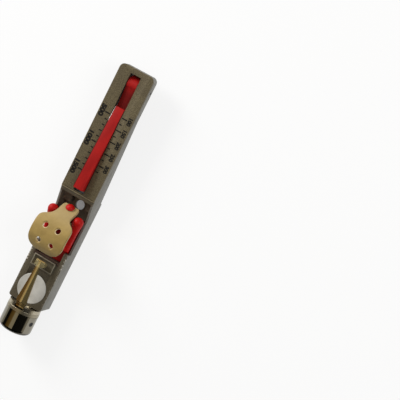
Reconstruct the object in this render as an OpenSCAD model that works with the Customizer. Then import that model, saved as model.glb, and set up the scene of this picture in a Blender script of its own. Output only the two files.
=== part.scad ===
// Belt tension tester: a pocket gauge, laid on a belt, pressed until it clicks, then read on its scale.
// Origin: centre of the flat underside of the foot. X across, +Y towards the scale end, +Z up. Millimetres.

/* [Body] */
// width of the housing
body_w = 20; // [19.5:0.25:21]
// length of the flat foot
foot_l = 64; // [63:0.5:66]
// length of the housing beyond the arm's pivot
end_l = 8; // [7.5:0.5:9]
// height of the scale face above the foot
body_h = 13.4; // [13.4:0.1:14]
// thickness of the housing at the scale end
thin_h = 5.8; // [5.6:0.1:6.4]
// length of the solid block at the grip end
block_l = 27.7; // [27.3:0.1:28.5]
// step from the scale face down to the block
block_drop = 1.4; // [1.2:0.1:1.6]
// thickness of the foot plate
foot_t = 1.6; // [1.5:0.1:1.8]
// thickness of the scale plate
plate_t = 0.5; // [0.3:0.1:0.7]
// wall beside the recess
wall_t = 1.1; // [1:0.1:1.3]
// height of the recess walls
wall_h = 8.6; // [8:0.1:9]
// corner radius at the scale end
corner_r = 2.8; // [2:0.1:4]
// radius of the sight hole in the recess floor
sight_r = 2.6; // [2:0.1:3]

/* [Indicator arm] */
// width of the slot in the scale plate
slot_w = 6.2; // [6.1:0.05:6.6]
// gap on each side of the arm
arm_gap = 0.25; // [0.2:0.05:0.3]
// length of the arm from its pivot
arm_l = 60.5; // [58:0.5:61]
// tilt of the arm at rest, as in the picture
rest_deg = 4.9; // [3:0.1:6]
// radius of the pivot pin
pivot_r = 0.8; // [0.6:0.05:0.9]
// radius of the round head of the arm
head_r = 3.4; // [3:0.1:3.6]

/* [Finger saddle and strap] */
// travel of the saddle when it is pressed
press_travel = 2; // [1.5:0.1:2]
// thickness of the saddle plate
slab_t = 2; // [1.8:0.1:2.2]
// radius of the round ends of the side rails
bulb_r = 2.8; // [2.4:0.1:2.8]
// thickness of the rubber strap
strap_t = 2; // [1.6:0.1:2.1]
// overhang of the strap pad beyond the side of the housing
pad_over = 0.3; // [0:0.1:0.5]
// radius of the holes in the pad
pad_hole_r = 1.3; // [1:0.1:1.5]

/* [Cap and clip] */
// radius of the end cap
cap_r = 9; // [8.6:0.1:9]
// length of the end cap
cap_l = 13.4; // [11:0.2:16]
// width of the clip in the ring that carries it
clip_w = 4.9; // [4.4:0.1:5.2]
// widest part of the clip, above its root
clip_root_w = 6; // [5.4:0.1:6.6]
// height of the clip's ridge
clip_ridge = 1.1; // [0.5:0.1:1.3]
// radius of the round badge
badge_r = 8.1; // [7:0.1:8.2]

/* [Fits] */
// clearance of parts that are fixed together
fit = 0.02; // [0.01:0.01:0.03]
// clearance of parts that turn or slide on a pin
run = 0.05; // [0.03:0.01:0.06]

/* [Hidden] */
$fn = 64;
e = 1;
tall = 3 * body_h;
// lengths along the tool
y_low = -foot_l / 2;
y_foot = foot_l / 2;
y_label = y_foot + 1;
slot_y0 = y_label + 1.1;
piv_y = slot_y0 + 1.4 + arm_l;
y_top = piv_y + end_l;
slot_y1 = y_top - 3;
rec_y0 = y_low + block_l;
rec_y1 = y_foot - 1.1;
rk = (rec_y1 - rec_y0) / 35.2;
// heights
under_z = body_h - thin_h;
seat_z = body_h - plate_t;
block_z = body_h - block_drop;
ramp_y = y_foot + 47.5;
wall_y = rec_y0 + 26.3 * rk;
cav_w = body_w - 2 * wall_t;
lug_w = 2.4;
lug_y = rec_y0 + 6 * rk;
// slot and arm
arm_w = slot_w - 2 * arm_gap;
piv_z = body_h - 3.8;
arm_top = 2.12;
arm_step = -13.6;
arm_heel = -16.5;
arm_tail = slot_y1 - piv_y - 0.3;
arm_bot = -1.8;
arm_end = -5;
stop_r = 0.7;
stop_dy = 10.5 - arm_l;
stop_l = body_w - 5;
shoe_dy = -arm_l + 4.3;
washer_t = 0.5;
// saddle
slab_z = foot_t + press_travel + 3.8;
slab_top = slab_z + slab_t;
sad_y0 = rec_y0 + 0.4;
sad_y1 = rec_y0 + 25.3 * rk;
pad_hw = body_w / 2 + pad_over;
slab_gap = 0.3;
slab_w = cav_w - 2 * slab_gap;
nose_w = body_w - 2 * lug_w - 2 * slab_gap;
rail_in = 5;
rail_w = slab_w / 2 - rail_in;
rail_x = rail_in + rail_w / 2;
bulb = [cav_w / 2 - 1.1, rec_y0 + 24.5 * rk, slab_z + 7.4];
spring_y = rec_y0 + 9.8 * rk;
spring_r = 3.6;
nut_top = foot_t + 2.2;
pocket_z = slab_z + 1.2;
guide = [2.9, rec_y0 + 19.8 * rk];
guide_r = 1;
// strap hook: hole centre and tilt of the strap there
hook = [rec_y0 + 28 * rk, slab_z + 5.6];
hook_deg = 54;
stud_r = 1.1;
stud_gap = 0.35;
// click blade
blade_t = 0.45;
blade_hw = 6;
blade_half = 8 * rk;
blade_top = slab_z - 1.5;
blade_rise = blade_top - blade_t / 2 - foot_t;
blade_rad = (blade_half * blade_half + blade_rise * blade_rise) / (2 * blade_rise);
blade_tab_y = spring_y + blade_half + 1.8;
// cap and clip
cap_z = body_h - 4.4;
ring_y = y_low - 0.5;
ring_t = 2;
cap_y = ring_y - ring_t;
clip_pin = [ring_y - ring_t / 2, cap_z + 6.4];
clip_z = cap_z + 8.2;
clip_t = 0.8;
clip_pin_r = 0.45;
clip_root = clip_pin[0] + 3;
// rest block, badge, screws
rest_y0 = rec_y0 - 7.1;
rest_l = 6.3;
rest_w = 13;
clip_tip = rest_y0 + 5.4;
bead_r = 1.2;
bead = [rest_y0 + rest_l / 2, body_h + 0.05 + bead_r];
rest_z = block_z - 1.6;
badge_y = y_low + 8.8;
badge_z = block_z - 0.5;
screw_r = 1;
foot_screw = [[-6.8, y_low + 3.5], [6.8, y_low + 3.5], [-6.6, rec_y1 - 2.7], [6.6, rec_y1 - 2.7]];
rest_screw = [[-4, rest_y0 + rest_l / 2], [4, rest_y0 + rest_l / 2]];

// underside of the arm, measured from its pivot when it lies flat
function arm_under(dy) = arm_bot + (arm_end - arm_bot) * (dy - arm_heel) / (-arm_l - arm_heel);
stop_z = piv_z + arm_under(stop_dy) - 0.12 - stop_r;
// half width of the strap, and its middle line, both from the near edge of the recess
strap_plan = [[29.4, 3.4], [28.9, 4.4], [28, 4.8], [25.8, 4.8], [24.3, 5], [23.3, 5.8], [22.5, 7.2],
    [21.7, pad_hw - 1.5], [20.7, pad_hw - 0.5], [19.3, pad_hw - 0.1], [16.3, pad_hw], [12.3, pad_hw],
    [9.3, pad_hw - 0.2], [7.3, pad_hw - 1], [5.8, pad_hw - 2.3], [4.9, pad_hw - 3.9], [4.3, pad_hw - 5.9]];
strap_bow = [[29.4, 11.05], [28, 13], [26.5, 15.2], [25.2, 17.5], [23.8, 20], [22.1, 22.3], [19.9, 24.1],
    [17.3, 25.2], [13.8, 25.8], [10.3, 25.5], [7.3, 24.5], [5, 23], [3.9, 22.1]];
strap_line = [for (p = strap_bow) [rk * p[0], p[1]]];
pad_holes = [[3.8, 17.7], [3.8, 9.3]];

// a flat outline drawn in Y and Z, given a width along X
module side(w) rotate([90, 0, 90]) linear_extrude(height = w, center = true) children();

// a round bar along X
module across(r, w) rotate([0, 90, 0]) cylinder(r = r, h = w, center = true);

// a round bar along Y that starts at y and runs l towards -Y
module along(r, y, l) translate([0, y, cap_z]) rotate([90, 0, 0]) cylinder(r = r, h = l);

// a rectangle with rounded ends, seen from above
module plan(w, y0, y1, r0, r1) {
    translate([-w / 2, y0 + r0]) square([w, y1 - r1 - y0 - r0]);
    translate([-w / 2 + r0, y0]) square([w - 2 * r0, r0 + 0.1]);
    translate([-w / 2 + r1, y1 - r1 - 0.1]) square([w - 2 * r1, r1 + 0.1]);
    for (s = [-1, 1]) {
        translate([s * (w / 2 - r0), y0 + r0]) circle(r0);
        translate([s * (w / 2 - r1), y1 - r1]) circle(r1);
    }
}

// moves the arm's pieces from lying flat to their rest pose
module arm_pose() translate([0, piv_y, piv_z]) rotate([-rest_deg, 0, 0]) children();

// puts the stud's pieces on the strap's hole, with their Z along the hole
module hook_pose() translate([0, hook[0], hook[1]]) rotate([-hook_deg, 0, 0]) children();

// cast body with the arm slot, the recess and the solid grip block
module housing() {
    color("#98948b")
    difference() {
        union() {
            difference() {
                intersection() {
                    side(body_w) polygon([[y_low, foot_t], [y_foot, foot_t], [ramp_y, under_z],
                        [y_top, under_z], [y_top, seat_z], [y_label, seat_z], [wall_y, wall_h],
                        [rec_y0, wall_h],
                        [rec_y0, block_z], [y_low, block_z]]);
                    linear_extrude(height = body_h + e) plan(body_w, y_low, y_top, 1.2, corner_r);
                }
                translate([-cav_w / 2, rec_y0, 0]) cube([cav_w, rec_y1 - rec_y0, body_h + e]);
                translate([-slot_w / 2, slot_y0, 0]) cube([slot_w, slot_y1 - slot_y0, body_h + e]);
            }
            for (s = [-1, 1]) translate([s * (cav_w / 2 - 2.1) - 2.2, rec_y1 - 5.2, foot_t])
                cube([4.4, 5.4, 4]);
            for (s = [-1, 1]) translate([s * (body_w - lug_w) / 2 - lug_w / 2, rec_y0 - 0.1, foot_t])
                cube([lug_w, lug_y - rec_y0 + 0.1, block_z - foot_t]);
        }
        translate([0, piv_y, piv_z]) across(pivot_r + fit, body_w + e);
        translate([0, piv_y + stop_dy, stop_z]) across(stop_r + fit, stop_l);
        for (p = foot_screw) translate([p[0], p[1], foot_t - e]) cylinder(r = screw_r + fit, h = 3.5 + e);
        for (p = rest_screw) {
            translate([p[0], p[1], foot_t - e]) cylinder(r = 2, h = 2.5 + e);
            translate([p[0], p[1], foot_t]) cylinder(r = screw_r + fit, h = body_h);
        }
        translate([-rest_w / 2 - fit, rest_y0 - fit, rest_z]) cube([rest_w + 2 * fit, rest_l + 2 * fit, 5]);
        translate([0, badge_y, badge_z]) cylinder(r = badge_r + fit, h = 5);
        along(2 + fit, y_low + 4.5, 4.5 + e);
    }
}

// flat steel plate that lies on the belt and closes the housing from below
module foot_plate() {
    color("#a7a7a5")
    difference() {
        linear_extrude(height = foot_t) plan(body_w, y_low, y_foot, 1.2, 0.6);
        translate([0, rec_y1 - 4.8, -e]) cylinder(r = sight_r, h = foot_t + 2 * e);
        translate([0, spring_y, -e]) cylinder(r = 2 + fit, h = foot_t + 2 * e);
        for (s = [-1, 1]) translate([s * guide[0], guide[1], 0.3]) cylinder(r = guide_r + fit, h = foot_t);
        translate([0, blade_tab_y, 0.3]) cylinder(r = 0.8 + fit, h = foot_t);
        for (p = foot_screw) translate([p[0], p[1], 0]) {
            translate([0, 0, -e]) cylinder(r = screw_r + fit, h = foot_t + 2 * e);
            translate([0, 0, -0.1]) cylinder(r1 = 2.1 + fit, r2 = screw_r + fit, h = 1.1);
        }
    }
}

// countersunk screws of the foot plate
module foot_screws() {
    color("#6f7173")
    for (p = foot_screw) translate([p[0], p[1], 0]) {
        translate([0, 0, 0.5]) cylinder(r = screw_r, h = foot_t + 2.8);
        translate([0, 0, 0.1]) cylinder(r1 = 1.9, r2 = screw_r, h = 0.9);
    }
}

// thin plate that carries the printed scales
module scale_plate() {
    color("#6e6450")
    translate([0, 0, seat_z]) difference() {
        linear_extrude(height = plate_t) plan(body_w, y_label, y_top, 0.4, corner_r);
        translate([-slot_w / 2, slot_y0, -e]) cube([slot_w, slot_y1 - slot_y0, plate_t + 2 * e]);
    }
}

// red arm that the belt swings up; its top edge is read against the scales
module indicator_arm() {
    color("#c01418")
    arm_pose() difference() {
        union() {
            side(arm_w) polygon([[arm_tail - 0.9, arm_bot], [arm_heel, arm_bot], [-arm_l, arm_end],
                [-arm_l, arm_top], [arm_step, arm_top], [arm_step, 0.1], [-7.5, 0.3], [-4.2, 1.4],
                [-1.6, 2.8], [0, 2.8],
                [arm_tail - 1.2, 1.2], [arm_tail, -0.4], [arm_tail, -1]]);
            across(head_r, arm_w);
        }
        translate([-arm_w, -head_r - e, arm_bot - 5]) cube([2 * arm_w, 2 * head_r + 2 * e, 5]);
        across(pivot_r + run, arm_w + e);
        for (s = [-1, 1]) translate([s * (arm_w / 2 - 0.35 + e), 0, 0]) across(2.75, 2 * e);
        translate([0, shoe_dy, arm_under(shoe_dy) - e]) cylinder(r = 0.9 + fit, h = 2.5 + e);
    }
}

// steel pin that the arm turns on
module arm_pivot_pin() {
    color("#55575a")
    translate([0, piv_y, piv_z]) across(pivot_r, body_w - 0.1);
}

// washers that brake the arm so that it stays where the belt leaves it
module friction_washers() {
    color("#b9bbbd")
    for (s = [-1, 1]) translate([s * (slot_w / 2 - run - washer_t / 2), piv_y, piv_z]) difference() {
        across(2.4, washer_t);
        across(pivot_r + fit, washer_t + e);
    }
}

// hard skid under the free end of the arm, the part that touches the belt
module feeler_shoe() {
    color("#3a3a3c")
    arm_pose() {
        side(4.6) polygon([[shoe_dy - 3.1, arm_under(shoe_dy - 3.1)], [shoe_dy - 3.1, -6.8],
            [shoe_dy - 1.5, -8.4], [shoe_dy + 1.5, -8.4], [shoe_dy + 3.1, -6.8],
            [shoe_dy + 3.1, arm_under(shoe_dy + 3.1)]]);
        translate([0, shoe_dy, -6]) cylinder(r = 0.9, h = arm_under(shoe_dy) + 6 + 2.3);
    }
}

// cross pin that the arm rests on when it is pushed right in
module arm_stop_pin() {
    color("#55575a")
    translate([0, piv_y + stop_dy, stop_z]) across(stop_r, stop_l - 2 * fit);
}

// red press piece with two side rails and a boss for the strap
module finger_saddle() {
    color("#b81216")
    difference() {
        union() {
            translate([-nose_w / 2, sad_y0, slab_z]) cube([nose_w, sad_y1 - sad_y0, slab_t]);
            translate([-slab_w / 2, lug_y + slab_gap, slab_z])
                cube([slab_w, sad_y1 - lug_y - slab_gap, slab_t]);
            for (s = [-1, 1]) translate([s * rail_x, rec_y0, slab_z]) side(rail_w) scale([rk, 1])
                polygon([[6.5, 0], [18.3, 0], [21.8, 2.2], [24.9, 5.6], [25.6, 7.2], [23.4, 9.3], [20.6, 7],
                [17.2, 4.9], [12.3, 3.6], [7.3, 2.9], [6.5, 2.3]]);
            translate(bulb) sphere(bulb_r);
            mirror([1, 0, 0]) translate(bulb) sphere(bulb_r);
            translate([-2.5, hook[0] - 5.5, slab_z]) cube([5, 3.3, slab_t + 1.1]);
            hook_pose() translate([0, 0, -5.5]) cylinder(r = 2.5, h = 5.5 - strap_t / 2 - stud_gap);
            for (s = [-1, 1]) translate([s * 5.35, spring_y, blade_top + 0.05])
                cylinder(r = 0.55, h = slab_z - blade_top);
        }
        translate([0, spring_y, slab_z - e]) cylinder(r = spring_r + 0.4, h = pocket_z - slab_z + e);
        for (s = [-1, 1]) translate([s * guide[0], guide[1], slab_z - e])
            cylinder(r = guide_r + run, h = slab_t + 2 * e);
        hook_pose() translate([0, 0, -4.6]) cylinder(r = stud_r + fit, h = 8);
    }
}

// round-headed red stud that hooks the strap to the saddle
module strap_stud() {
    color("#c41a1c")
    hook_pose() {
        translate([0, 0, -4.5]) cylinder(r = stud_r, h = 4.5 + strap_t / 2 + stud_gap + 0.2);
        translate([0, 0, strap_t / 2 + stud_gap]) rotate_extrude() intersection() {
            translate([0, -1.6]) circle(3.4);
            square([2.4, 3]);
        }
    }
}

// bowed rubber strap that the finger goes under
module finger_strap() {
    color("#c8a868")
    difference() {
        intersection() {
            translate([0, rec_y0, slab_z - 7.4]) side(2 * pad_hw + 2) polygon(concat(
                [for (i = [0 : len(strap_line) - 1]) strap_line[i] + strap_t / 2 * strap_normal(i)],
                [for (i = [len(strap_line) - 1 : -1 : 0]) strap_line[i] - strap_t / 2 * strap_normal(i)]));
            translate([0, rec_y0, 0]) linear_extrude(height = tall) polygon(concat(
                [for (p = strap_plan) [p[1], rk * p[0]]],
                [for (i = [len(strap_plan) - 1 : -1 : 0]) [-strap_plan[i][1], rk * strap_plan[i][0]]]));
        }
        for (s = [-1, 1], p = pad_holes) translate([s * p[0], rec_y0 + rk * p[1], slab_top + 7])
            cylinder(r = pad_hole_r, h = tall);
        hook_pose() translate([0, 0, -4]) cylinder(r = stud_r + 0.35, h = 8);
    }
}
function strap_dir(i) = strap_line[min(i + 1, len(strap_line) - 1)] - strap_line[max(i - 1, 0)];
function strap_normal(i) = [strap_dir(i)[1], -strap_dir(i)[0]] / norm(strap_dir(i));

// headed pins that the saddle slides on
module guide_pins() {
    color("#b0b2b4")
    for (s = [-1, 1]) translate([s * guide[0], guide[1], 0]) {
        translate([0, 0, 0.3]) cylinder(r = guide_r, h = slab_top);
        translate([0, 0, slab_top + run]) cylinder(r = 1.7, h = 0.85);
    }
}

// plain tube in place of the coil that sets the pressing force
module load_spring() {
    color("#8d9094")
    translate([0, spring_y, nut_top]) difference() {
        cylinder(r = spring_r, h = pocket_z - nut_top);
        translate([0, 0, -e]) cylinder(r = spring_r - 0.9, h = pocket_z - nut_top + 2 * e);
    }
}

// bowed leaf under the saddle that snaps through with a click
module click_blade() {
    color("#9a9da1")
    difference() {
        union() {
            side(2 * blade_hw) intersection() {
                translate([spring_y, blade_top - blade_t / 2 - blade_rad]) difference() {
                    circle(blade_rad + blade_t / 2);
                    circle(blade_rad - blade_t / 2);
                }
                translate([spring_y - 12, foot_t]) square([24, 20]);
            }
            translate([-1.5, spring_y + blade_half - 0.6, foot_t]) cube([3, 4.2, blade_t]);
        }
        translate([0, spring_y, 0]) cylinder(r = 4.6, h = 20);
        translate([0, blade_tab_y, 0]) cylinder(r = 0.8 + fit, h = 20);
    }
}

// screw that holds the click blade to the foot plate
module blade_screw() {
    color("#6f7173")
    translate([0, blade_tab_y, 0]) {
        translate([0, 0, 0.4]) cylinder(r = 0.8, h = foot_t + 0.5);
        translate([0, 0, foot_t + blade_t]) cylinder(r = 1.35, h = 0.8);
    }
}

// calibrating screw under the spring, reached from below
module adjusting_screw() {
    color("#7d8083")
    translate([0, spring_y, 0]) difference() {
        translate([0, 0, 0.15]) cylinder(r = 2, h = slab_z - press_travel + 0.45);
        translate([-0.4, -3, -e]) cube([0.8, 6, 0.9 + e]);
    }
}

// nut that locks the calibrating screw
module lock_nut() {
    color("#8b8e90")
    translate([0, spring_y, foot_t]) difference() {
        cylinder(r = 4.04, h = nut_top - foot_t, $fn = 6);
        translate([0, 0, -e]) cylinder(r = 2 + fit, h = nut_top);
    }
}

// raised block beside the recess that the clip's tip rests on
module rest_block() {
    color("#8a867c")
    difference() {
        translate([-rest_w / 2, rest_y0, rest_z]) cube([rest_w, rest_l, body_h - rest_z]);
        for (p = rest_screw) translate([p[0], p[1], rest_z - e]) cylinder(r = screw_r + fit, h = 1.9 + e);
    }
}

// screws that hold the rest block from inside
module rest_block_screws() {
    color("#6f7173")
    for (p = rest_screw) translate([p[0], p[1], 0]) {
        translate([0, 0, foot_t + 0.5]) cylinder(r = 1.8, h = 2);
        translate([0, 0, foot_t + 1.5]) cylinder(r = screw_r, h = rest_z + 0.2 - foot_t);
    }
}

// plain white badge let into the grip block
module badge_disc() {
    color("#d8d6d0")
    translate([0, badge_y, badge_z]) cylinder(r = badge_r, h = 0.7);
}

// stud that ties the cap and the clip ring to the housing
module cap_stud() {
    color("#7d8083")
    along(2, y_low + 4.4, y_low + 4.4 - (cap_y - cap_l + 4));
}

// ring that carries the clip
module clip_ring() {
    color("#b5b0a4")
    difference() {
        union() {
            along(cap_r - 0.1, ring_y, ring_t);
            along(5, y_low, 1);
        }
        along(2 + fit, y_low + e, 6);
        translate([-clip_w / 2 - 0.15, cap_y - e, clip_pin[1] - 1.1]) cube([clip_w + 0.3, ring_t + 2 * e, 9]);
        translate([0, clip_pin[0], clip_pin[1]]) across(clip_pin_r + fit, 9);
    }
}

// solid core inside the cap
module cap_core() {
    color("#6b6d70")
    difference() {
        along(cap_r - 1.1, cap_y, cap_l - 2);
        along(2 + fit, cap_y + e, cap_l - 3.5 + e);
    }
}

// bright round cap at the grip end
module end_cap() {
    color("#d4d2cc")
    translate([0, cap_y, cap_z]) rotate([90, 0, 0]) rotate_extrude() difference() {
        union() {
            square([cap_r, cap_l - 2.5]);
            square([cap_r - 2.5, cap_l]);
            translate([cap_r - 2.5, cap_l - 2.5]) circle(2.5);
        }
        translate([-e, -e]) square([cap_r - 1.1 + fit + e, cap_l - 2 + fit + e]);
        translate([-3, 0]) square([3, cap_l + e]);
    }
}

// pin that the clip springs on
module clip_hinge_pin() {
    color("#55575a")
    translate([0, clip_pin[0], clip_pin[1]]) across(clip_pin_r, 9 - 2 * fit);
}

// brass pocket clip with a ridge, a T-shaped tip and a bead that rests on the block
module pocket_clip() {
    color("#b08d3e")
    difference() {
        intersection() {
            union() {
                side(8) polygon([[clip_pin[0] - 0.35, clip_pin[1] + 0.4],
                    [clip_pin[0] + 0.35, clip_pin[1] - 0.4],
                    [clip_root + 0.35, clip_z], [bead[0] - bead_r, clip_z], [bead[0] - bead_r, bead[1]],
                    [bead[0] + bead_r, bead[1]], [bead[0] + bead_r, clip_z], [clip_tip, clip_z],
                    [clip_tip, clip_z + clip_t], [clip_root - 0.25, clip_z + clip_t]]);
                translate([0, bead[0], bead[1]]) across(bead_r, 8);
                translate([0, clip_pin[0], clip_pin[1]]) across(0.85, clip_w);
                translate([0, clip_tip - 0.4, clip_z + clip_t]) rotate([90, 0, 0])
                    linear_extrude(height = clip_tip - 0.4 - clip_root) polygon([[-clip_root_w / 2, -0.1],
                    [clip_root_w / 2, -0.1], [clip_root_w / 2, 0], [0, clip_ridge], [-clip_root_w / 2, 0]]);
            }
            linear_extrude(height = tall) polygon([[-clip_w / 2, cap_y], [clip_w / 2, cap_y],
                [clip_w / 2, clip_root - 0.6], [clip_root_w / 2, clip_root], [clip_root_w / 2, clip_root + 1],
                [1.15, clip_tip - 4.4], [1.15, clip_tip - 3.2], [2.6, clip_tip - 3.2], [2.6, clip_tip],
                [-2.6, clip_tip], [-2.6, clip_tip - 3.2], [-1.15, clip_tip - 3.2], [-1.15, clip_tip - 4.4],
                [-clip_root_w / 2, clip_root + 1], [-clip_root_w / 2, clip_root],
                [-clip_w / 2, clip_root - 0.6]]);
        }
        translate([0, clip_pin[0], clip_pin[1]]) across(clip_pin_r + run, 12);
    }
}

housing();
foot_plate();
foot_screws();
scale_plate();
indicator_arm();
arm_pivot_pin();
friction_washers();
feeler_shoe();
arm_stop_pin();
finger_saddle();
strap_stud();
finger_strap();
guide_pins();
load_spring();
click_blade();
blade_screw();
adjusting_screw();
lock_nut();
rest_block();
rest_block_screws();
badge_disc();
cap_stud();
clip_ring();
cap_core();
end_cap();
clip_hinge_pin();
pocket_clip();
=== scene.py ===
import math

import bmesh
import bpy
import numpy as np
from mathutils import Matrix, Vector


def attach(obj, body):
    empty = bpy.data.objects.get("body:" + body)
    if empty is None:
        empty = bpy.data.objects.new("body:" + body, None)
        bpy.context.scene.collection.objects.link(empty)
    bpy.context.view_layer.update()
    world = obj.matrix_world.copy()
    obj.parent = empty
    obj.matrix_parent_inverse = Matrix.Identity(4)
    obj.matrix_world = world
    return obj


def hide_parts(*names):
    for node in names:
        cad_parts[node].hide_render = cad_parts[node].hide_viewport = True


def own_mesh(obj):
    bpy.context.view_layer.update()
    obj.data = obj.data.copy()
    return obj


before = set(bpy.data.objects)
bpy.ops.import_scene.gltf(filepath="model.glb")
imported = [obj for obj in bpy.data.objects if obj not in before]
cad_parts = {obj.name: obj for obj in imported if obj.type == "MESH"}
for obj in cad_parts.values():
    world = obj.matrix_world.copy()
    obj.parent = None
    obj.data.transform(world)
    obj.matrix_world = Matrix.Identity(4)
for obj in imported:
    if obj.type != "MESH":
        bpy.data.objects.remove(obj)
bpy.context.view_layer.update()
scene = bpy.context.scene
MM = 0.001
RECESS_Y = -4.3             # near edge of the finger recess
PLATE_TOP = 13.4            # face of the scale plate
CAP_Z = 9                   # axis of the end cap
SPRING_Y = 5.5              # axis of the load spring
HOLE_X, HOLE_Y, HOLE_R = 3.8, (17.7, 9.3), 1.4      # holes in the strap, their Y from the recess edge
HOOK_Y, HOOK_Z, HOOK_TILT = 23.7, 13.0, -54         # where the stud goes through the strap
HOOK = Matrix.Translation(Vector((0, HOOK_Y, HOOK_Z)) * MM) @ Matrix.Rotation(math.radians(HOOK_TILT), 4, "X")


# ---------------------------------------------------------------- shader tools

class Value:
    """A number inside a finish. Arithmetic on it adds Math nodes."""

    def __init__(self, finish, socket):
        self.finish, self.socket = finish, socket

    def math(self, operation, a, b):
        return self.finish.node("Math", {"operation": operation}, {0: a, 1: b})

    def __add__(self, other):
        return self.math("ADD", self, other)

    def __radd__(self, other):
        return self.math("ADD", other, self)

    def __sub__(self, other):
        return self.math("SUBTRACT", self, other)

    def __rsub__(self, other):
        return self.math("SUBTRACT", other, self)

    def __mul__(self, other):
        return self.math("MULTIPLY", self, other)

    def __rmul__(self, other):
        return self.math("MULTIPLY", other, self)

    def size(self):
        return self.math("ABSOLUTE", self, 0)

    def fade(self, low, high):
        """0 below low, 1 above high, smooth between."""
        return self.finish.node("MapRange", {"interpolation_type": "SMOOTHSTEP"},
                                {"Value": self, "From Min": low, "From Max": high})


class Nodes:
    """A node tree, with the one method that adds a node to it."""

    def __init__(self, tree):
        self.tree = tree

    def node(self, kind, settings=None, sockets=None, out=0):
        made = self.tree.nodes.new("ShaderNode" + kind)
        for name, value in (settings or {}).items():
            if name == "stops":
                while len(made.color_ramp.elements) < len(value):
                    made.color_ramp.elements.new(0.5)
                for element, (position, colour) in zip(made.color_ramp.elements, value):
                    element.position, element.color = position, colour
            else:
                setattr(made, name, value)
        for name, value in (sockets or {}).items():
            self.feed(made.inputs[name], value)
        return Value(self, made.outputs[out])

    def feed(self, socket, value):
        if isinstance(value, Value):
            self.tree.links.new(value.socket, socket)
        else:
            socket.default_value = value


class Finish(Nodes):
    """One procedural surface finish around a Principled shader."""

    def __init__(self, name, **constants):
        self.material = bpy.data.materials.new(name)
        self.material.use_nodes = True
        super().__init__(self.material.node_tree)
        self.shader = self.tree.nodes["Principled BSDF"]
        self.place = self.node("TexCoord", out="Object")
        for socket, value in constants.items():
            self.shader.inputs[socket.replace("_", " ")].default_value = value

    def paint(self, **inputs):
        """Feeds what changes over the surface to the shader's own sockets."""
        for socket, value in inputs.items():
            self.feed(self.shader.inputs[socket.replace("_", " ")], value)

    def stretched(self, scale):
        return self.node("Mapping", {}, {"Vector": self.place, "Scale": scale})

    def noise(self, scale, detail=3.0, rough=0.55, along=None):
        return self.node("TexNoise", {}, {"Vector": along or self.place, "Scale": scale,
                                          "Detail": detail, "Roughness": rough})

    def cells(self, scale):
        return self.node("TexVoronoi", {}, {"Vector": self.place, "Scale": scale}, "Distance")

    def mix(self, share, a, b):
        return self.node("Mix", {"data_type": "RGBA"}, {0: share, 6: a, 7: b}, 2)

    def axis(self, name):
        return self.node("SeparateXYZ", {}, {0: self.place}, name)

    def bump(self, height, strength, depth):
        self.paint(Normal=self.node("Bump", {}, {"Strength": strength, "Distance": depth, "Height": height}))


def rgb(r, g, b):
    """A display colour, 0 to 255, as the linear colour that the shader takes."""
    shares = [c / 255 for c in (r, g, b)]
    return tuple(c / 12.92 if c <= 0.04045 else ((c + 0.055) / 1.055) ** 2.4 for c in shares) + (1.0,)


# ---------------------------------------------------------------- finishes

def cast_metal():
    """Satin grey housing: brown grain on top, streaks along the sides; the top painted darker and the sides
    lighter as lit, painted shade in the recess and slot, a painted strap shadow, and painted highlights and
    glints on edges.
    """
    f = Finish("housing_metal", Metallic=0.3)
    x, y, z = f.axis("X").size(), f.axis("Y"), f.axis("Z")
    streak = f.noise(1900, 3, 0.55, f.stretched((1, 0.025, 1)))
    grain = f.noise(2600, 4, 0.65)
    blotch = f.noise(160, 3, 0.5)
    # Lit and shaded copies of one metal: the sides painted lighter and the top painted darker brown, as the
    # light falls on them.
    side = f.mix(streak.fade(0.3, 0.7), rgb(112, 110, 103), rgb(134, 132, 124))
    top = f.mix(grain.fade(0.3, 0.7), rgb(74, 67, 54), rgb(108, 101, 84))
    level = z.fade(11.75 * MM, 11.95 * MM)
    base = f.mix(level, side, top)
    base = f.mix(blotch.fade(0.45, 0.75) * 0.25, base, rgb(88, 82, 70))
    # Painted shade inside the finger recess, below the block top.
    recess = (1 - x.fade(8.95 * MM, 9.05 * MM)) * y.fade(-4.4 * MM, -4.25 * MM) \
        * (1 - y.fade(30.85 * MM, 31 * MM))
    shade = f.mix(blotch.fade(0.35, 0.65), rgb(92, 80, 66), rgb(122, 108, 92))
    base = f.mix(recess * (1 - level), base, shade)
    # Painted shade inside the arm's slot.
    slot = (1 - x.fade(3.14 * MM, 3.24 * MM)) * y.fade(33.2 * MM, 33.6 * MM) \
        * (1 - y.fade(101.1 * MM, 101.4 * MM))
    base = f.mix(slot, base, f.mix(grain, rgb(40, 32, 26), rgb(58, 48, 40)))
    # Painted shadow of the strap, with a red reflection, on the block top at the recess edge.
    shadow_and_stain = y.fade(-6.4 * MM, -5.6 * MM) * (1 - y.fade(-4.2 * MM, -4.1 * MM)) \
        * (1 - x.fade(7.5 * MM, 8.6 * MM))
    base = f.mix(shadow_and_stain * 0.7, base, rgb(50, 22, 18))
    # Painted highlight along the top edge at the level of the plate.
    rim = z.fade(13.2 * MM, 13.36 * MM) * (1 - x.fade(9 * MM, 9.2 * MM))
    base = f.mix(rim * (0.35 + grain * 0.5), base, rgb(150, 144, 126))
    # Painted glints in patches along the block's upper side edge, strongest near the recess.
    glint_span = y.fade(-15 * MM, -11 * MM) * (1 - y.fade(-1 * MM, 1.5 * MM))
    edge = x.fade(9.0 * MM, 9.6 * MM) * z.fade(11.2 * MM, 11.7 * MM) * (1 - z.fade(12.3 * MM, 12.6 * MM))
    glints_and_patches = edge * (0.25 + glint_span * 0.75) * f.noise(1300, 4, 0.7).fade(0.5, 0.6)
    f.paint(Base_Color=f.mix(glints_and_patches, base, rgb(214, 210, 198)), Roughness=0.34 + grain * 0.2 + streak * 0.08)
    f.bump(grain * 0.7 + streak * 0.6, 0.22, 0.06 * MM)
    return f


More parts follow.
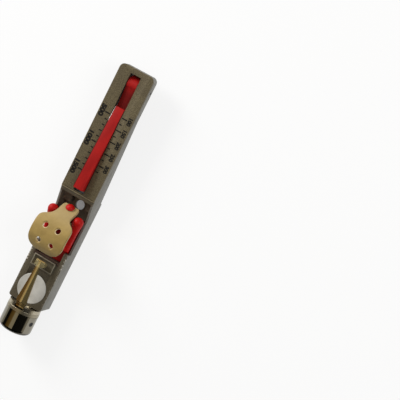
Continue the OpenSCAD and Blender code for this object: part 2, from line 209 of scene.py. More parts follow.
def label_metal():
    """Brownish printed plate with a fine rolled grain."""
    f = Finish("scale_plate_metal", Metallic=0.3)
    grain = f.noise(2400, 5, 0.75)
    roll = f.noise(1200, 3, 0.6, f.stretched((1, 0.12, 1)))
    cloud = f.noise(90, 3, 0.5)
    colour = f.mix(grain.fade(0.32, 0.68), rgb(54, 47, 32), rgb(124, 113, 84))
    colour = f.mix(cloud.fade(0.4, 0.7) * 0.4, colour, rgb(82, 73, 57))
    # Painted highlight along the plate's lower lip.
    lip = (1 - f.axis("Y").fade(33.2 * MM, 33.5 * MM)) * (0.5 + grain * 0.5)
    colour = f.mix(lip, colour, rgb(152, 138, 108))
    f.paint(Base_Color=colour, Roughness=0.4 + grain * 0.22)
    f.bump(grain * 0.6 + roll * 0.5, 0.3, 0.05 * MM)
    return f


def foot_steel():
    """Ground steel of the foot, with scratches along its length and its upper face painted dark as shade in
    the recess.
    """
    f = Finish("foot_steel", Metallic=0.4)
    scratch = f.noise(2400, 4, 0.7, f.stretched((1, 0.02, 1)))
    glints_and_patches = f.noise(220, 3, 0.5)
    # Painted shade on the upper face, inside the recess, in patchy tones.
    upper = f.axis("Z").fade(1.35 * MM, 1.5 * MM)
    ground = f.mix(scratch.fade(0.3, 0.7), rgb(112, 111, 106), rgb(160, 158, 152))
    f.paint(Base_Color=f.mix(upper, ground, f.mix(glints_and_patches, rgb(84, 72, 60), rgb(118, 104, 88))),
            Roughness=0.28 + scratch * 0.2 + glints_and_patches * 0.1)
    f.bump(scratch, 0.15, 0.03 * MM)
    return f


def red_plastic(name, low, high, rough, shine=0.22):
    """Moulded red plastic with a slight flow pattern and a soft shine."""
    f = Finish(name, Coat_Roughness=0.3, Specular_IOR_Level=shine)
    flow = f.noise(260, 3, 0.5, f.stretched((1, 0.35, 1)))
    fine = f.noise(4200, 3, 0.6)
    f.colour = f.mix(flow.fade(0.3, 0.7), low, high)
    f.paint(Base_Color=f.colour, Roughness=rough + fine * 0.1, Coat_Weight=0.02 + flow * 0.05)
    f.bump(fine + flow * 1.5, 0.12, 0.04 * MM)
    return f


def arm_plastic():
    """Red plastic of the arm: painted shade in the neck and along both edges, with one painted pale highlight
    on the left edge.
    """
    f = red_plastic("red_arm_plastic", rgb(164, 24, 21), rgb(146, 19, 17), 0.46, 0.14)
    x, y, z = f.axis("X"), f.axis("Y"), f.axis("Z")
    # Painted shade in the neck.
    neck = y.fade(82.6 * MM, 82.8 * MM) * (1 - y.fade(90 * MM, 95.5 * MM))
    colour = f.mix(neck * 0.75, f.colour, rgb(96, 12, 10))
    # Painted shade along the left edge below the step.
    edge = (1 - x.fade(-2.6 * MM, -2.35 * MM)) * (1 - y.fade(82.5 * MM, 82.7 * MM))
    colour = f.mix(edge * 0.9, colour, rgb(58, 9, 8))
    # Painted shade on the right side face below the step.
    flank = x.fade(2.5 * MM, 2.62 * MM) * (1 - y.fade(82.5 * MM, 82.7 * MM)) \
        * (1 - z.fade(13.5 * MM, 14 * MM))
    colour = f.mix(flank * 0.85, colour, rgb(48, 8, 7))
    # Painted pale highlight along the upper left edge, just below the step.
    depth = 16.87 * MM - (y - 36.08 * MM) * 0.0858 - z
    edge_glint = (1 - x.fade(-2.62 * MM, -2.55 * MM)) * y.fade(73.6 * MM, 76 * MM) \
        * (1 - y.fade(82 * MM, 82.4 * MM)) * (1 - depth.fade(0.6 * MM, 0.8 * MM))
    f.paint(Base_Color=f.mix(edge_glint, colour, rgb(236, 230, 224)))
    return f


def tan_rubber():
    """Moulded tan rubber: matt skin, faint mottling and handling marks, darker towards the near end partly as
    painted shade, lighter towards the neck, painted light on the walls of the holes.
    """
    f = Finish("tan_rubber", Specular_IOR_Level=0.35, Sheen_Weight=0.15, Sheen_Roughness=0.5)
    mottle = f.noise(240, 3, 0.5)
    pore = f.noise(3800, 4, 0.6)
    mark = f.cells(230).fade(0.0, 0.3)
    colour = f.mix(mottle.fade(0.35, 0.7), rgb(160, 134, 73), rgb(147, 122, 64))
    colour = f.mix((1 - mark) * 0.18, colour, rgb(130, 107, 62))
    # Darker towards the near end, partly as painted shade where the strap curves down, and lighter towards
    # the neck.
    near, neck = f.axis("Y").fade(9 * MM, -1 * MM), f.axis("Y").fade(14 * MM, 22 * MM)
    colour = f.mix(near * 0.5, colour, rgb(120, 100, 58))
    colour = f.mix(neck * 0.55, colour, rgb(186, 164, 118))
    # Painted light on the walls of the holes.
    across = f.axis("X").size() * 1000 - HOLE_X
    for middle in HOLE_Y:
        down = f.axis("Y") * 1000 - (RECESS_Y + middle)
        wall = 1 - (across * across + down * down).fade(1.9, 2.6)
        colour = f.mix(wall * 0.8, colour, rgb(228, 208, 164))
    f.paint(Base_Color=colour, Roughness=0.44 + mottle * 0.2)
    f.bump(pore * 0.8 + mottle * 0.6, 0.22, 0.05 * MM)
    return f


def bright_metal(name, low, high, rough, along=(1, 0.03, 1), scale=1800):
    """Polished or drawn metal with hairline marks along the given direction."""
    f = Finish(name, Metallic=1.0)
    hair = f.noise(scale, 4, 0.7, f.stretched(along))
    haze = f.noise(300, 3, 0.5)
    f.paint(Base_Color=f.mix(hair, low, high), Roughness=rough + haze * 0.06 + hair * 0.04)
    f.bump(hair, 0.05, 0.02 * MM)
    return f


def mirror_chrome():
    """Polished plating with a faint haze, and a satin collar at the mouth of the cap."""
    f = Finish("cap_chrome", Metallic=1.0)
    haze = f.noise(420, 3, 0.5, f.stretched((1, 0.3, 1)))
    collar = f.axis("Y").fade(-36.5 * MM, -36.4 * MM)
    end = 1 - f.axis("Y").fade(-46.4 * MM, -45.6 * MM)
    bright = f.mix(haze, rgb(130, 125, 112), rgb(144, 139, 126))
    bright = f.mix(end, bright, rgb(84, 80, 72))
    f.paint(Base_Color=f.mix(collar, bright, rgb(158, 150, 130)),
            Roughness=0.05 + haze * 0.05 + collar * 0.33 + end * 0.15)
    return f


def clip_brass():
    """Drawn brass with stains: a painted brown reflection on one flank of the ridge, a painted olive
    reflection on the other, and painted pale highlights at the tip.
    """
    f = Finish("clip_brass", Metallic=0.75)
    hair = f.noise(1200, 4, 0.7, f.stretched((1, 0.04, 1)))
    shadow_and_stain = f.noise(420, 4, 0.6, f.stretched((1, 0.3, 1)))
    x, y = f.axis("X"), f.axis("Y")
    gold = f.mix(hair, rgb(170, 146, 92), rgb(206, 184, 130))
    # Painted brown reflection on the left flank of the ridge.
    flank = (1 - x.fade(-0.75 * MM, -0.45 * MM)) * (1 - y.fade(-10.5 * MM, -9.5 * MM))
    colour = f.mix(flank * (0.7 + shadow_and_stain * 0.3), gold, rgb(138, 98, 40))
    # Painted olive reflection on the right flank.
    right_facet_reflection = x.fade(0.5 * MM, 0.9 * MM) * (1 - y.fade(-10.5 * MM, -9.5 * MM))
    colour = f.mix(right_facet_reflection * (0.4 + shadow_and_stain * 0.4), colour, rgb(112, 100, 66))
    # Painted pale highlights at the tip.
    tip = y.fade(-10.2 * MM, -9.2 * MM) * shadow_and_stain.fade(0.35, 0.6)
    colour = f.mix(tip * 0.8, colour, rgb(226, 212, 160))
    f.paint(Base_Color=colour, Roughness=0.2 + shadow_and_stain * 0.12)
    f.bump(hair * 0.3 + shadow_and_stain, 0.12, 0.06 * MM)
    return f


def enamel():
    """White stoved enamel with fine speckle and a little yellowing in soft clouds."""
    f = Finish("white_enamel", Coat_Weight=0.2, Coat_Roughness=0.2)
    speck = f.noise(3200, 4, 0.65)
    cloud = f.noise(180, 3, 0.5)
    f.paint(Base_Color=f.mix(cloud.fade(0.35, 0.7), rgb(198, 196, 189), rgb(182, 179, 170)),
            Roughness=0.34 + speck * 0.15)
    f.bump(speck, 0.12, 0.03 * MM)
    return f


def ink():
    """Black printing ink, slightly worn."""
    f = Finish("scale_ink", Specular_IOR_Level=0.3)
    wear = f.noise(2400, 4, 0.7)
    f.paint(Base_Color=f.mix(wear.fade(0.5, 0.85), rgb(10, 9, 7), rgb(26, 23, 18)),
            Roughness=0.5 + wear * 0.2)
    return f


def black_shoe():
    """Dark hardened skid with rubbed marks."""
    f = Finish("shoe_black", Specular_IOR_Level=0.3)
    rub = f.noise(1500, 4, 0.6, f.stretched((1, 0.1, 1)))
    f.paint(Base_Color=f.mix(rub, rgb(20, 20, 21), rgb(44, 44, 45)), Roughness=0.5 + rub * 0.2)
    f.bump(rub, 0.15, 0.03 * MM)
    return f


FINISH = {
    "body_metal": cast_metal(),
    "scale_face": label_metal(),
    "foot_steel": foot_steel(),
    "red_arm": arm_plastic(),
    "red_plastic": red_plastic("red_saddle_plastic", rgb(182, 16, 12), rgb(164, 13, 10), 0.42, 0.13),
    # A darker copy of the saddle's red plastic: painted shade on the slab under the strap.
    "painted_shade_slab": red_plastic("painted_shade_slab_plastic", rgb(118, 15, 12), rgb(92, 11, 9), 0.6, 0.04),
    "tan_rubber": tan_rubber(),
    "steel": bright_metal("pin_steel", rgb(130, 130, 128), rgb(172, 171, 168), 0.24),
    "pivot_steel": bright_metal("pivot_steel", rgb(26, 25, 24), rgb(46, 44, 42), 0.4),
    "dark_steel": bright_metal("screw_steel", rgb(78, 78, 79), rgb(116, 115, 114), 0.3),
    "spring_steel": bright_metal("spring_steel", rgb(110, 111, 114), rgb(156, 156, 157), 0.25),
    "ring_metal": bright_metal("ring_metal", rgb(164, 155, 134), rgb(192, 184, 164), 0.22,
                               (0.05, 1, 0.05), 900),
    "chrome": mirror_chrome(),
    "brass": clip_brass(),
    "white_enamel": enamel(),
    "shoe_black": black_shoe(),
    "ink": ink(),
}


# ---------------------------------------------------------------- mesh tools

def piece(name, bm, finish, body, replaces=(), crease=32):
    """Turns a bmesh into a finished piece that rides on a body."""
    mesh = bpy.data.meshes.new(name)
    bm.to_mesh(mesh)
    bm.free()
    mesh.shade_smooth()
    mesh.set_sharp_from_angle(angle=math.radians(crease))
    made = bpy.data.objects.new(name, mesh)
    scene.collection.objects.link(made)
    mesh.materials.append(FINISH[finish].material)
    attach(made, body)
    if replaces:
        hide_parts(*replaces)
    return made


def merged(node):
    """A node's solid as one joined mesh with its flat faces whole."""
    bm = bmesh.new()
    bm.from_mesh(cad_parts[node].data)
    bmesh.ops.remove_doubles(bm, verts=bm.verts, dist=2e-6)
    bmesh.ops.dissolve_limit(bm, angle_limit=math.radians(0.6), verts=bm.verts, edges=bm.edges)
    return bm


def everything(bm):
    return list(bm.verts) + list(bm.edges) + list(bm.faces)


def new_verts(result):
    """The vertices that an extrude has added."""
    return [v for v in result["geom"] if isinstance(v, bmesh.types.BMVert)]


def soften(bm, width, segments=2, angle=40, shortest=1.2):
    """Rounds the sharp edges that are long enough to take it."""
    edges = [e for e in bm.edges if len(e.link_faces) == 2 and e.calc_length() > shortest * MM
             and e.calc_face_angle(0) > math.radians(angle)]
    bmesh.ops.bevel(bm, geom=edges, affect="EDGES", offset=width * MM, segments=segments, profile=0.5,
                    material=-1, clamp_overlap=True)
    return bm


def curve_through(points, per=6, closed=False):
    """Points on a smooth line through the given points."""
    pts = [np.array(p, float) for p in points]
    n = len(pts)
    out = []
    for i in range(n if closed else n - 1):
        p1, p2 = pts[i], pts[(i + 1) % n]
        p0 = pts[i - 1] if closed or i else 2 * p1 - p2
        p3 = pts[(i + 2) % n] if closed or i + 2 < n else 2 * p2 - p1
        for k in range(per):
            t = k / per
            out.append(0.5 * (2 * p1 + (p2 - p0) * t + (2 * p0 - 5 * p1 + 4 * p2 - p3) * t * t
                              + (3 * p1 - p0 - 3 * p2 + p3) * t ** 3))
    if not closed:
        out.append(pts[-1])
    return out


def loop_of(bm, points):
    """A closed ring of edges through flat points."""
    verts = [bm.verts.new((x, y, 0)) for x, y in points]
    return [bm.edges.new((verts[i - 1], verts[i])) for i in range(len(verts))]


def turned(profile, centre, axis, steps=96):
    """A solid turned from (radius, height) points; axis is Y or Z."""
    bm = bmesh.new()
    place = {"Y": lambda r, h: (r, h, 0), "Z": lambda r, h: (r, 0, h)}[axis]
    verts = [bm.verts.new(place(r * MM, h * MM)) for r, h in profile]
    edges = [bm.edges.new(pair) for pair in zip(verts, verts[1:])]
    bmesh.ops.spin(bm, geom=verts + edges, cent=(0, 0, 0), axis=(0, 1, 0) if axis == "Y" else (0, 0, 1),
                   angle=2 * math.pi, steps=steps, use_merge=True)
    bmesh.ops.remove_doubles(bm, verts=bm.verts, dist=1e-6)
    bmesh.ops.recalc_face_normals(bm, faces=bm.faces)
    bmesh.ops.translate(bm, vec=Vector(centre) * MM, verts=bm.verts)
    return bm


def ring_of(radius, count=28):
    """Points round a circle."""
    return [(radius * math.cos(a), radius * math.sin(a))
            for a in np.linspace(0, 2 * math.pi, count, endpoint=False)]


def rounded(radius, start, end, centre, count=8):
    """Points of an arc in the (radius, height) plane, angles in degrees."""
    return [(centre[0] + radius * math.cos(math.radians(a)), centre[1] + radius * math.sin(math.radians(a)))
            for a in np.linspace(start, end, count)]


# ---------------------------------------------------------------- body

def plain_pieces():
    """Nodes whose solid has the right shape: merged, edges rounded, given their finish."""
    for node, finish, body, width in (
            ("housing", "body_metal", "base", 0.22),
            ("foot_plate", "foot_steel", "base", 0.18),
            ("scale_plate", "scale_face", "base", 0.12),
            ("feeler_shoe", "shoe_black", "arm", 0.3),
            ("clip_ring", "ring_metal", "base", 0.15),
            ("lock_nut", "steel", "base", 0.2),
            ("adjusting_screw", "steel", "base", 0.12),
            ("guide_pins", "steel", "base", 0.15),
            ("arm_pivot_pin", "pivot_steel", "base", 0.08),
            ("arm_stop_pin", "dark_steel", "base", 0.08),
            ("friction_washers", "steel", "base", 0.06),
            ("blade_screw", "dark_steel", "base", 0.1),
            ("rest_block_screws", "dark_steel", "base", 0.1),
            ("cap_stud", "steel", "base", 0.1),
            ("cap_core", "dark_steel", "base", 0.1),
            ("clip_hinge_pin", "dark_steel", "base", 0.05)):
        piece(node + "_skin", soften(merged(node), width), finish, body, (node,))


def arm():
    """Pointer arm, its neck sloping straight from the round head down to the step."""
    bm = merged("indicator_arm")
    for y, low, high in ((91.93, 11.35, 11.93), (88.55, 10.54, 11.55)):
        line = [v for v in bm.verts
                if abs(v.co.y - y * MM) < 0.15 * MM and abs(v.co.z - low * MM) < 0.12 * MM]
        bmesh.ops.translate(bm, vec=(0, 0, (high - low) * MM), verts=line)
    piece("indicator_arm_skin", soften(bm, 0.32, 3), "red_arm", "arm", ("indicator_arm",))


def slotted_screws():
    """Countersunk foot screws with a driver slot."""
    bm = merged("foot_screws")
    for x, y in ((-6.8, -28.5), (6.8, -28.5), (-6.6, 28.2), (6.6, 28.2)):
        for side in (-0.25, 0.25):
            head = [f for f in bm.faces if f.normal.z < -0.9 and f.calc_center_median().z < 0.3 * MM
                    and (f.calc_center_median() - Vector((x, y, 0)) * MM).length < 3 * MM]
            geom = list({v for f in head for v in f.verts}) + list({e for f in head for e in f.edges}) + head
            bmesh.ops.bisect_plane(bm, geom=geom, dist=1e-7, plane_co=((x + side) * MM, y * MM, 0),
                                   plane_no=(1, 0, 0))
        strip = [f for f in bm.faces if f.normal.z < -0.9 and f.calc_center_median().z < 0.3 * MM
                 and abs(f.calc_center_median().x - x * MM) < 0.2 * MM
                 and abs(f.calc_center_median().y - y * MM) < 1 * MM]
        cut = bmesh.ops.extrude_face_region(bm, geom=strip)
        bmesh.ops.delete(bm, geom=strip, context="FACES_ONLY")
        bmesh.ops.translate(bm, vec=(0, 0, 0.45 * MM), verts=new_verts(cut))
    piece("foot_screws_skin", bm, "dark_steel", "base", ("foot_screws",))


def badge():
    """Bare enamel disc with a rolled rim."""
    profile = [(0, 11.5), (8.02, 11.5)] + rounded(0.22, -10, 80, (7.85, 11.98), 6)
    profile += [(7.5, 12.16), (7.2, 12.12), (0, 12.14)]
    disc = turned(profile, (0, -23.2, 0), "Z")
    piece("badge_disc_skin", disc, "white_enamel", "base", ("badge_disc",))


def cap():
    """Bright end cap with a rounded end, a small step at its mouth and a set screw in its side."""
    profile = [(0, -45.92), (7.92, -45.92), (7.92, -34.52), (8.7, -34.52), (8.78, -34.52)]
    profile += rounded(0.2, 90, 0, (8.78, -34.72), 5)
    profile += [(8.98, -34.8), (8.98, -36.3), (8.86, -36.36), (8.86, -36.5), (8.98, -36.56)]
    profile += [(8.98, -36.66), (9.0, -45.3)] + rounded(2.5, 0, -84, (6.5, -45.4), 16)
    profile += [(6.3, -47.88), (0, -47.88)]
    shell = turned(profile, (0, 0, CAP_Z), "Y", 160)
    piece("end_cap_skin", shell, "chrome", "base", ("end_cap",), 28)
    screw = turned([(0, -0.7), (1.3, -0.7), (1.3, 0), (1.22, 0.08), (0.8, 0.08), (0.7, 0.05), (0, 0.05)],
                   (0, 0, 0), "Z", 32)
    lean = Matrix.Rotation(math.radians(72), 4, "Y")
    bmesh.ops.transform(screw, matrix=Matrix.Translation(Vector((0, -40.2, CAP_Z)) * MM) @ lean
                        @ Matrix.Translation((0, 0, 8.97 * MM)), verts=screw.verts)
    piece("cap_set_screw", screw, "shoe_black", "base", (), 40)


def rest():
    """Rest block under the clip: a shallow tray with a raised rim."""
    bm = soften(merged("rest_block"), 0.25)
    tops = [f for f in bm.faces if f.normal.z > 0.99 and f.calc_center_median().z > 13.2 * MM]
    bmesh.ops.inset_region(bm, faces=tops, thickness=0.5 * MM, depth=0)
    bmesh.ops.inset_region(bm, faces=tops, thickness=0.14 * MM, depth=-0.3 * MM)
    piece("rest_block_skin", bm, "body_metal", "base", ("rest_block",))


def clip():
    """Sprung clip: its ridge and edges rounded over."""
    bm = merged("pocket_clip")
    ridge = [e for e in bm.edges if e.calc_length() > 3 * MM
             and all(abs(v.co.x) < 0.05 * MM and v.co.z > 18.4 * MM for v in e.verts)]
    bmesh.ops.bevel(bm, geom=ridge, affect="EDGES", offset=0.75 * MM, segments=4, profile=0.5, material=-1,
                    clamp_overlap=True)
    piece("pocket_clip_skin", soften(bm, 0.22, 3), "brass", "clip", ("pocket_clip",))


# ---------------------------------------------------------------- scale print

PRINT_Z, PRINT_THICK = PLATE_TOP + 0.01, 0.02


def tick(bm, x0, x1, y, width):
    """One printed line across the plate."""
    made = bmesh.ops.create_cube(bm, size=1)["verts"]
    bmesh.ops.scale(bm, vec=((x1 - x0) * MM, width * MM, PRINT_THICK * MM), verts=made)
    bmesh.ops.translate(bm, vec=((x0 + x1) / 2 * MM, y * MM, PRINT_Z * MM), verts=made)


def numeral(bm, words, x, y, length, height, weight):
    """A number that reads along the tool, fitted to a length and a height."""
    curve = bpy.data.curves.new("numeral", "FONT")
    curve.body, curve.extrude, curve.offset = words, 0.01, weight
    text = bpy.data.objects.new("numeral", curve)
    scene.collection.objects.link(text)
    bpy.context.view_layer.update()
    mesh = bpy.data.meshes.new_from_object(text.evaluated_get(bpy.context.evaluated_depsgraph_get()))
    co = np.array([v.co for v in mesh.vertices])
    low, high = co.min(0), co.max(0)
    mid, size = (low + high) / 2, high - low
    turn = Matrix.Translation(Vector((x, y, PRINT_Z)) * MM) @ Matrix.Rotation(-math.pi / 2, 4, "Z")
    fit = Matrix.Diagonal((length / size[0] * MM, height / size[1] * MM, PRINT_THICK / size[2] * MM, 1))
    mesh.transform(turn @ fit @ Matrix.Translation(-Vector(mid)))
    bm.from_mesh(mesh)
    bpy.data.objects.remove(text)
    bpy.data.curves.remove(curve)
    bpy.data.meshes.remove(mesh)


def scale_print():
    """Ticks and plain figures on both sides of the slot, and two fine lines at the recess end."""
    bm = bmesh.new()
    for i, y in enumerate(np.linspace(77.4, 45.1, 11)):
        tick(bm, -6.2 if i % 5 == 0 else -5.0, -3.45, y, 0.72 if i % 5 == 0 else 0.62)
    for i, y in enumerate(np.linspace(78.55, 47.8, 10)):
        tick(bm, 3.4, 6.5 if i % 2 == 0 else 5.0, y, 0.68 if i % 2 == 0 else 0.58)
    for words, y, length in (("500", 77.5, 6.7), ("1000", 61.5, 7.9), ("1500", 45.0, 7.8)):
        numeral(bm, words, -8.0, y, length, 2.9, 0.07)
    for i, words in enumerate(("100", "150", "200", "250", "300")):
        numeral(bm, words, 8.05, 78.3 - 6.8 * i, 4.2, 2.4, 0.065)
    for y in (33.75, 33.4):
        tick(bm, -9.5, 9.5, y, 0.12)
    piece("scale_print", bm, "ink", "base", ())


# ---------------------------------------------------------------- strap

# bow of the strap as (y, z), and half its width as (y, x), y from the recess edge
STRAP_LINE = [(29.4, 11.05), (28, 13), (26.5, 15.2), (25.2, 17.5), (23.8, 20), (22.1, 22.3), (19.9, 24.1),
              (17.3, 25.2), (13.8, 25.8), (10.3, 25.5), (7.3, 24.5), (5, 23), (3.9, 22.1)]
STRAP_PLAN = [(29.4, 3.4), (28.9, 4.4), (28, 4.8), (25.8, 4.8), (24.3, 5), (23.3, 5.8), (22.5, 7.2),
              (21.7, 8.8),
              (20.7, 9.8), (19.3, 10.2), (16.3, 10.3), (12.3, 10.3), (9.3, 10.1), (7.3, 9.3), (5.8, 8),
              (4.9, 6.4), (4.3, 4.4)]


def strap():
    """Bowed rubber strap: cut flat with its holes, rim rounded, then bent along its line."""
    line = np.array(curve_through(STRAP_LINE, 16))
    line[:, 0] += RECESS_Y
    run = np.concatenate([[0], np.cumsum(np.linalg.norm(np.diff(line, axis=0), axis=1))])
    slope = np.gradient(line, axis=0)
    slope /= np.linalg.norm(slope, axis=1)[:, None]

    def along(y):
        return float(np.interp(-y, -line[:, 0], run))

    right = [(w, along(y + RECESS_Y)) for y, w in STRAP_PLAN]
    outline = curve_through(right + [(-w, s) for w, s in reversed(right)], 4, True)
    rings = [outline]
    for x in (-HOLE_X, HOLE_X):
        for y in HOLE_Y:
            rings.append([(x + u, along(y + RECESS_Y + v)) for u, v in ring_of(HOLE_R)])
    rings.append([(u, along(HOOK_Y) + v) for u, v in ring_of(1.45)])
    bm = bmesh.new()
    edges = [e for ring in rings for e in loop_of(bm, ring)]
    bmesh.ops.triangle_fill(bm, edges=edges, use_beauty=True, use_dissolve=True)
    bmesh.ops.recalc_face_normals(bm, faces=bm.faces)
    if sum(f.normal.z for f in bm.faces) > 0:
        bmesh.ops.reverse_faces(bm, faces=bm.faces)
    bmesh.ops.translate(bm, vec=(0, 0, -1), verts=bm.verts)
    top = bmesh.ops.extrude_face_region(bm, geom=list(bm.faces), use_keep_orig=True)
    bmesh.ops.translate(bm, vec=(0, 0, 2), verts=new_verts(top))
    bmesh.ops.recalc_face_normals(bm, faces=bm.faces)
    rim = [e for e in bm.edges if len(e.link_faces) == 2 and e.calc_face_angle(0) > 1.2
           and abs(e.verts[0].co.z - e.verts[1].co.z) < 0.1]
    bmesh.ops.bevel(bm, geom=rim, affect="EDGES", offset=0.55, segments=4, profile=0.5, material=-1,
                    clamp_overlap=True)
    for s in np.arange(0.7, run[-1], 0.7):
        bmesh.ops.bisect_plane(bm, geom=everything(bm), dist=1e-4,
                               plane_co=(0, s, 0), plane_no=(0, 1, 0))
    for x in (-8.5, -6.5, -2, 0, 2, 6.5, 8.5):
        bmesh.ops.bisect_plane(bm, geom=everything(bm), dist=1e-4,
                               plane_co=(x, 0, 0), plane_no=(1, 0, 0))
    for v in bm.verts:
        x, s, w = v.co
        y, z = np.interp(s, run, line[:, 0]), np.interp(s, run, line[:, 1])
        ty, tz = np.interp(s, run, slope[:, 0]), np.interp(s, run, slope[:, 1])
        droop = 0.3 * min(1, s / 12) * (x / 10) ** 2
        v.co = Vector((x, y + w * tz, z - w * ty - droop - 0.015)) * MM
    bmesh.ops.recalc_face_normals(bm, faces=bm.faces)
    piece("finger_strap_skin", bm, "tan_rubber", "strap", ("finger_strap",), 40)


def stud():
    """Round-headed stud through the strap."""
    profile = [(0, -4.5), (1.08, -4.5), (1.08, 1.36), (2.2, 1.36)] + rounded(0.2, -70, 30, (2.2, 1.56), 5)
    profile += [(1.9, 2.2), (1.4, 2.62), (0.8, 2.93), (0.35, 3.06), (0, 3.1)]
    bm = turned(profile, (0, 0, 0), "Z", 48)
    bmesh.ops.transform(bm, matrix=HOOK, verts=bm.verts)
    piece("strap_stud_skin", bm, "red_plastic", "saddle", ("strap_stud",), 50)


# ---------------------------------------------------------------- saddle

# side outline of a rail as (y, z) from the recess edge and the slab
RAIL = [(6.5, 0), (18.3, 0), (21.8, 2.2), (24.9, 5.6), (25.6, 7.2), (23.4, 9.3), (20.6, 7), (17.2, 4.9),
        (12.3, 3.6), (7.3, 2.9), (6.5, 2.3)]
# swelling of a rail from its round end down: x, y, z, half width, half height
CLUB = [(7.8, 24.5, 14.8, 2.85, 2.85), (7.65, 22.8, 14.2, 2.7, 2.65), (7.5, 21, 13.7, 2.45, 2.4),
        (7.4, 18.5, 13.1, 2.2, 2.2), (7.3, 16, 12.6, 2.05, 2.0), (7.2, 13, 11.9, 1.9, 1.9),
        (7.1, 10.5, 11.2, 1.7, 1.8), (7.0, 8.3, 10.6, 1.65, 1.7)]


def saddle():
    """Moulded press piece: the slab as made, and two rails that swell into round ends."""
    bm = merged("finger_saddle")
    bmesh.ops.bisect_plane(bm, geom=everything(bm), dist=1e-7,
                           plane_co=(0, 0, 9.42 * MM), plane_no=(0, 0, 1), clear_outer=True)
    bmesh.ops.holes_fill(bm, edges=[e for e in bm.edges if e.is_boundary], sides=0)
    piece("saddle_slab", bm, "painted_shade_slab", "saddle", ("finger_saddle",))
    boss = turned([(0, -5.5), (2.3, -5.5), (2.5, -5.3), (2.5, -1.6), (2.25, -1.36), (0, -1.36)],
                  (0, 0, 0), "Z", 48)
    bmesh.ops.transform(boss, matrix=HOOK, verts=boss.verts)
    piece("saddle_boss", boss, "red_plastic", "saddle", ("finger_saddle",), 50)
    for side, word in ((-1, "left"), (1, "right")):
        bm = bmesh.new()
        face = bm.faces.new([bm.verts.new((side * 6.8 - 1.6, RECESS_Y + y, 7.4 + z)) for y, z in RAIL])
        grown = bmesh.ops.extrude_face_region(bm, geom=[face], use_keep_orig=True)
        bmesh.ops.translate(bm, vec=(3.2, 0, 0), verts=new_verts(grown))
        for x, y, z, wide, tall in curve_through(CLUB, 4):
            ball = bmesh.ops.create_uvsphere(bm, u_segments=32, v_segments=20, radius=1)["verts"]
            bmesh.ops.scale(bm, vec=(wide, tall, tall), verts=ball)
            bmesh.ops.translate(bm, vec=(side * x, RECESS_Y + y, z), verts=ball)
        bmesh.ops.scale(bm, vec=(MM, MM, MM), verts=bm.verts)
        bmesh.ops.recalc_face_normals(bm, faces=bm.faces)
        rail = piece("saddle_rail_" + word, bm, "red_plastic", "saddle", ("finger_saddle",),
                     180)
        remesh = rail.modifiers.new("moulded", "REMESH")
        remesh.mode, remesh.voxel_size, remesh.use_smooth_shade = "VOXEL", 0.22 * MM, True
        smooth = rail.modifiers.new("eased", "SMOOTH")
        smooth.factor, smooth.iterations = 0.5, 22


# ---------------------------------------------------------------- spring and blade

def spring():
    """Coil spring and click blade between the foot and the saddle, each with a mesh of its own."""
    turns, steps = 5, 160
    bm = bmesh.new()
    ring = bmesh.ops.create_circle(bm, cap_ends=True, segments=14, radius=0.42 * MM)["verts"]
    bmesh.ops.rotate(bm, cent=(0, 0, 0), matrix=Matrix.Rotation(math.pi / 2, 3, "X"), verts=ring)
    bmesh.ops.translate(bm, vec=(3.15 * MM, SPRING_Y * MM, 4.25 * MM), verts=ring)
    bmesh.ops.spin(bm, geom=everything(bm), cent=(0, SPRING_Y * MM, 0), axis=(0, 0, 1),
                   dvec=(0, 0, 3.9 * MM / steps), angle=2 * math.pi * turns, steps=steps)
    bmesh.ops.remove_doubles(bm, verts=bm.verts, dist=1e-7)
    bmesh.ops.recalc_face_normals(bm, faces=bm.faces)
    coil = piece("load_spring_skin", bm, "spring_steel", "base", ("load_spring",), 60)
    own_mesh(coil)
    blade = piece("click_blade_skin", merged("click_blade"), "spring_steel", "base", ("click_blade",))
    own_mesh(blade)


# ---------------------------------------------------------------- stage

def aim(location, target):
    return (Vector(target) - Vector(location)).to_track_quat("-Z", "Y").to_euler()


def lamp(name, location, size, power, colour=(1, 1, 1)):
    data = bpy.data.lights.new(name, "AREA")
    data.shape, data.size, data.size_y = "RECTANGLE", size[0], size[1]
    data.energy, data.color = power, colour
    made = bpy.data.objects.new(name, data)
    made.location, made.rotation_euler = location, aim(location, (0, 0.03, 0.01))
    scene.collection.objects.link(made)


# what polished metal mirrors, from left to right: direction, colour
SOFTBOXES = [(-1, (0.5, 0.48, 0.42)), (-0.93, (0.5, 0.48, 0.42)), (-0.91, (0.012, 0.01, 0.008)),
             (-0.73, (0.012, 0.01, 0.008)), (-0.69, (0.16, 0.09, 0.02)), (-0.36, (0.3, 0.19, 0.06)),
             (-0.27, (0.6, 0.52, 0.36)), (0.08, (0.6, 0.53, 0.38)), (0.12, (0.01, 0.01, 0.009)),
             (0.91, (0.016, 0.015, 0.013)), (0.94, (0.5, 0.47, 0.4)), (1, (0.5, 0.47, 0.4))]


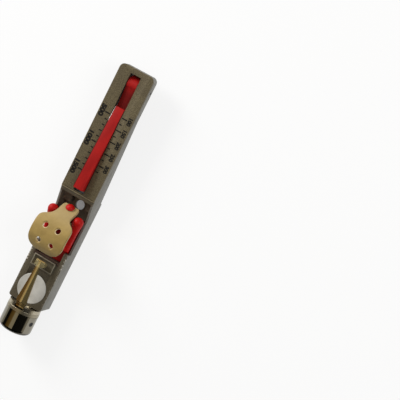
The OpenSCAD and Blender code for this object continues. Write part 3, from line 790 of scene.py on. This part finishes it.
def studio():
    """Camera, pale paper floor with painted shade under the foot and the slot, surround and two lamps."""
    camera = bpy.data.cameras.new("camera")
    camera.lens, camera.sensor_width = 117, 36
    camera.clip_start, camera.clip_end = 0.01, 20
    eye = bpy.data.objects.new("camera", camera)
    eye.matrix_world = Matrix(((0.848386, -0.475284, 0.233121, 0.210909),
                               (0.450455, 0.879465, 0.153725, 0.161385),
                               (-0.278085, -0.025408, 0.960220, 0.638084),
                               (0, 0, 0, 1)))
    scene.collection.objects.link(eye)
    scene.camera = eye

    bm = bmesh.new()
    bmesh.ops.create_grid(bm, x_segments=1, y_segments=1, size=2.5)
    bmesh.ops.translate(bm, vec=(0, 0, -0.0002), verts=bm.verts)
    mesh = bpy.data.meshes.new("floor")
    bm.to_mesh(mesh)
    bm.free()
    floor = bpy.data.objects.new("floor", mesh)
    scene.collection.objects.link(floor)
    paper = Finish("paper_white", Base_Color=(0.88, 0.88, 0.87, 1), Roughness=0.9)
    # Painted shade on the floor under the foot and under the arm's slot, seen through the sight hole and the
    # slot: the floor's glow is cut there.
    under = (1 - paper.axis("X").size().fade(8.5 * MM, 9.5 * MM)) * paper.axis("Y").fade(14 * MM, 17 * MM) \
        * (1 - paper.axis("Y").fade(30 * MM, 31.5 * MM))
    slot = (1 - paper.axis("X").size().fade(4 * MM, 4.6 * MM)) * paper.axis("Y").fade(32 * MM, 33 * MM) \
        * (1 - paper.axis("Y").fade(38 * MM, 40 * MM))
    seen = paper.node("LightPath", out="Is Camera Ray") + paper.node("LightPath", out="Is Glossy Ray") \
        + paper.node("LightPath", out="Is Transmission Ray")
    glow = paper.node("Emission", {}, {"Strength": 1.0})
    share = seen * (0.8 - under * 0.66 - slot * 0.7)
    blend = paper.node("MixShader", {}, {0: share, 1: Value(paper, paper.shader.outputs[0]), 2: glow})
    paper.feed(paper.tree.nodes["Material Output"].inputs["Surface"], blend)
    mesh.materials.append(paper.material)

    world = bpy.data.worlds.new("studio")
    scene.world = world
    world.use_nodes = True
    sky = Nodes(world.node_tree)
    place = sky.node("TexCoord", out="Generated")
    across, ahead = (sky.node("SeparateXYZ", {}, {0: place}, name) for name in "XY")
    stops = [(direction / 2 + 0.5, colour + (1,)) for direction, colour in SOFTBOXES]
    boxes = sky.node("ValToRGB", {"stops": stops}, {0: across * 0.5 + 0.5})
    front = sky.node("MapRange", {}, {"Value": ahead, "From Min": -0.62, "From Max": -0.5})
    mirrored = sky.node("Background", {}, {0: boxes, 1: front})
    plain = sky.node("Background", {}, {0: (0.38, 0.38, 0.38, 1)})
    white = sky.node("Background", {}, {0: (1, 1, 1, 1)})
    lit = sky.node("MixShader", {}, {0: sky.node("LightPath", out="Is Glossy Ray"), 1: plain, 2: mirrored})
    whole = sky.node("MixShader", {}, {0: sky.node("LightPath", out="Is Camera Ray"), 1: lit, 2: white})
    sky.feed(sky.tree.nodes["World Output"].inputs["Surface"], whole)

    lamp("key", (-0.8, 0.45, 0.5), (0.4, 0.5), 9.5, (1.0, 0.98, 0.95))
    lamp("fill", (0.7, 0.35, 0.6), (0.5, 0.5), 3.0)
    scene.view_settings.view_transform = "Standard"


# ---------------------------------------------------------------- make it

plain_pieces()
arm()
slotted_screws()
badge()
cap()
rest()
clip()
scale_print()
strap()
stud()
saddle()
spring()
studio()
